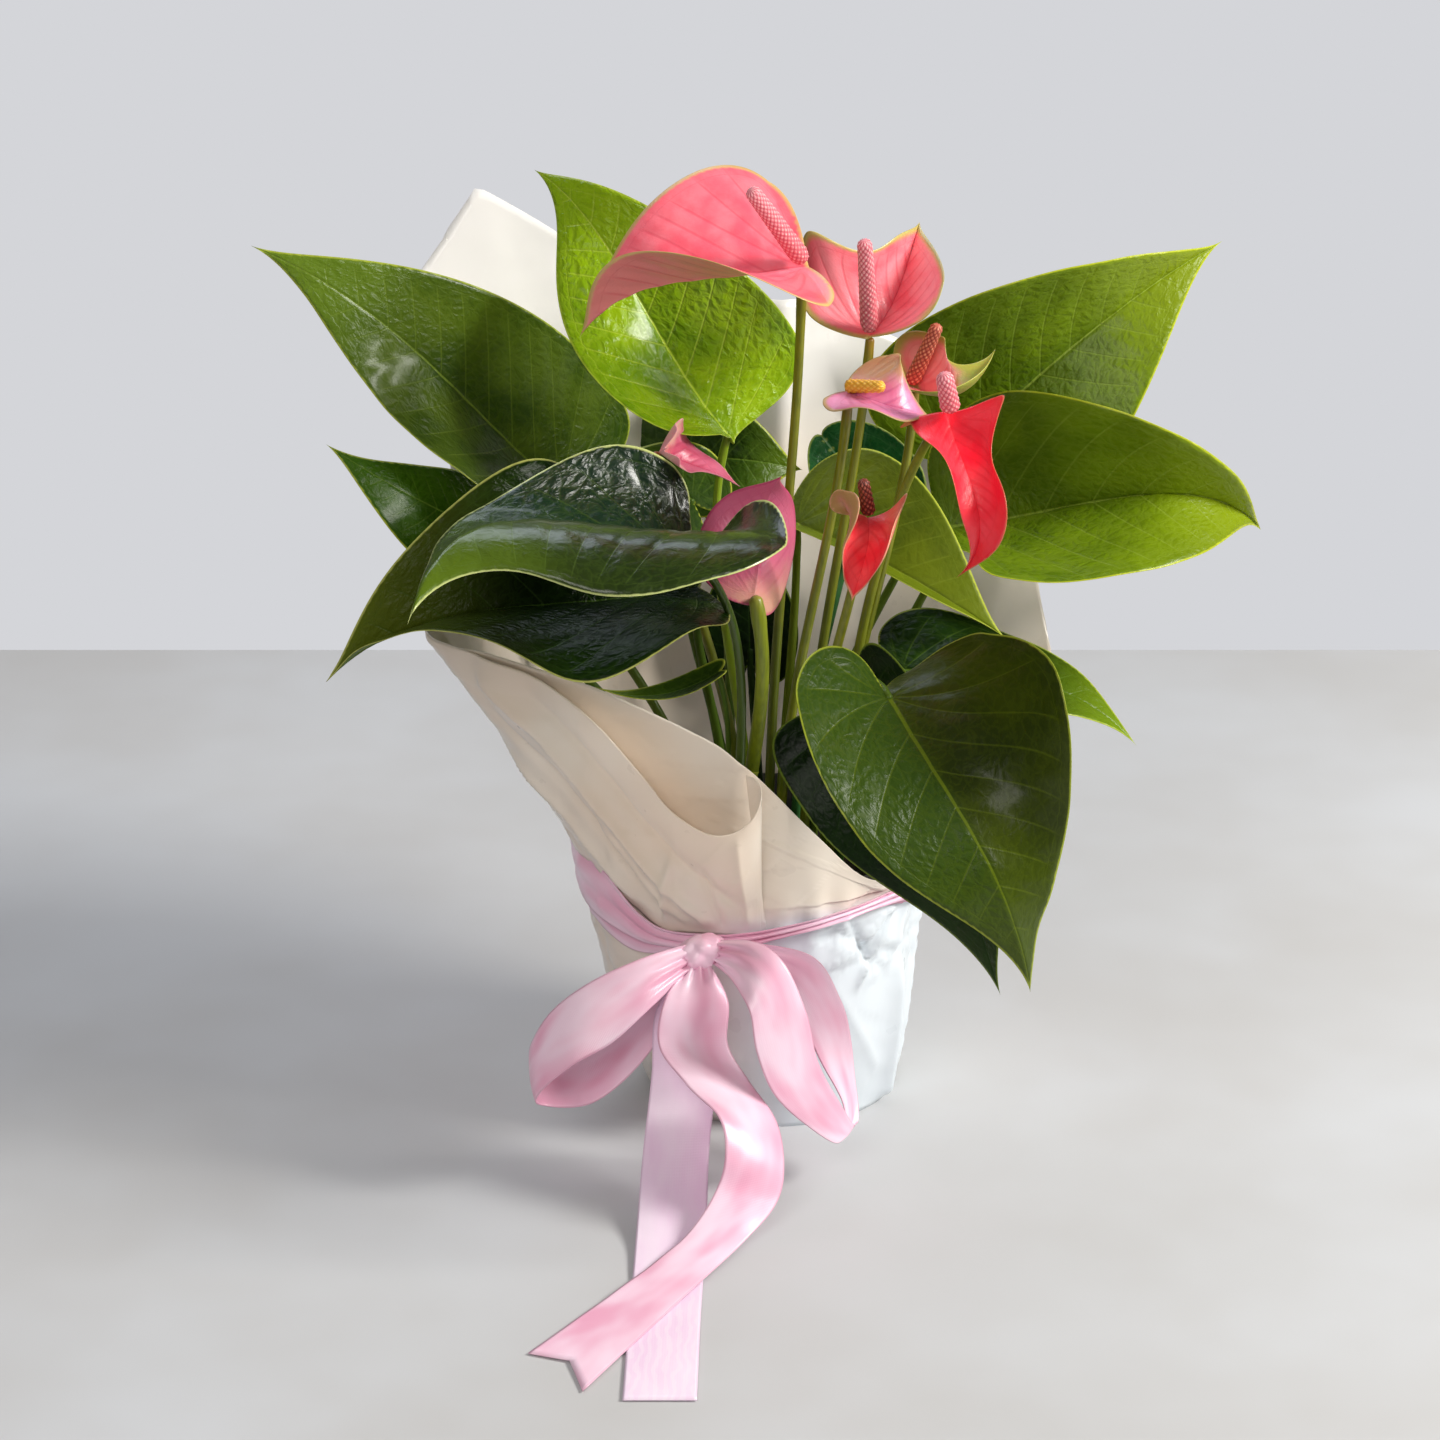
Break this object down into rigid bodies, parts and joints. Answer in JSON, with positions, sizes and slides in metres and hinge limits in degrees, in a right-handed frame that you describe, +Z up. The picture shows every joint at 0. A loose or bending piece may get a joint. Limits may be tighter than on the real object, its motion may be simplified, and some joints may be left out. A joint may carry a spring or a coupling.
{
  "type": "potted anthurium",
  "caption": "Pink anthurium with heart-shaped leaves in a nursery pot, wrapped in cream paper tied with a pink satin ribbon.",
  "frame": {"origin": "on the floor, on the axis of the pot, at the flat underside of the wrap", "axes": "+Z up, -Y towards the front, +X to the right as seen from the front"},
  "size_m": [0.3943, 0.3816, 0.3797],
  "materials": {
    "leaf": "glossy living leaf",
    "spathe": "waxy petal",
    "spadix": "pebbly",
    "stem": "smooth green stem",
    "soil": "crumbly peat",
    "pot": "satin",
    "paper": "pearly coated paper",
    "ribbon": "satin"
  },
  "bodies": {
    "root": {"leaf_01": "leaf", "leaf_02": "leaf", "leaf_03": "leaf", "leaf_04": "leaf", "leaf_05": "leaf", "leaf_06": "leaf", "leaf_07": "leaf", "leaf_08": "leaf", "leaf_09": "leaf", "leaf_10": "leaf", "leaf_11": "leaf", "leaf_12": "leaf", "leaf_13": "leaf", "leaf_14": "leaf", "leaf_15": "leaf", "leaf_16": "leaf", "leaf_17": "leaf", "spathe_01": "spathe", "spathe_02": "spathe", "spathe_03": "spathe", "spathe_04": "spathe", "spathe_05": "spathe", "spathe_06": "spathe", "spathe_07": "spathe", "spathe_08": "spathe", "spadix_01": "spadix", "spadix_02": "spadix", "spadix_03": "spadix", "spadix_04": "spadix", "spadix_05": "spadix", "spadix_06": "spadix", "stem_01": "stem", "stem_02": "stem", "stem_03": "stem", "stem_04": "stem", "stem_05": "stem", "stem_06": "stem", "stem_07": "stem", "stem_08": "stem", "wrap": "paper", "ribbon": "ribbon", "grow_pot": "pot", "soil": "soil"}
  },
  "joints": []
}
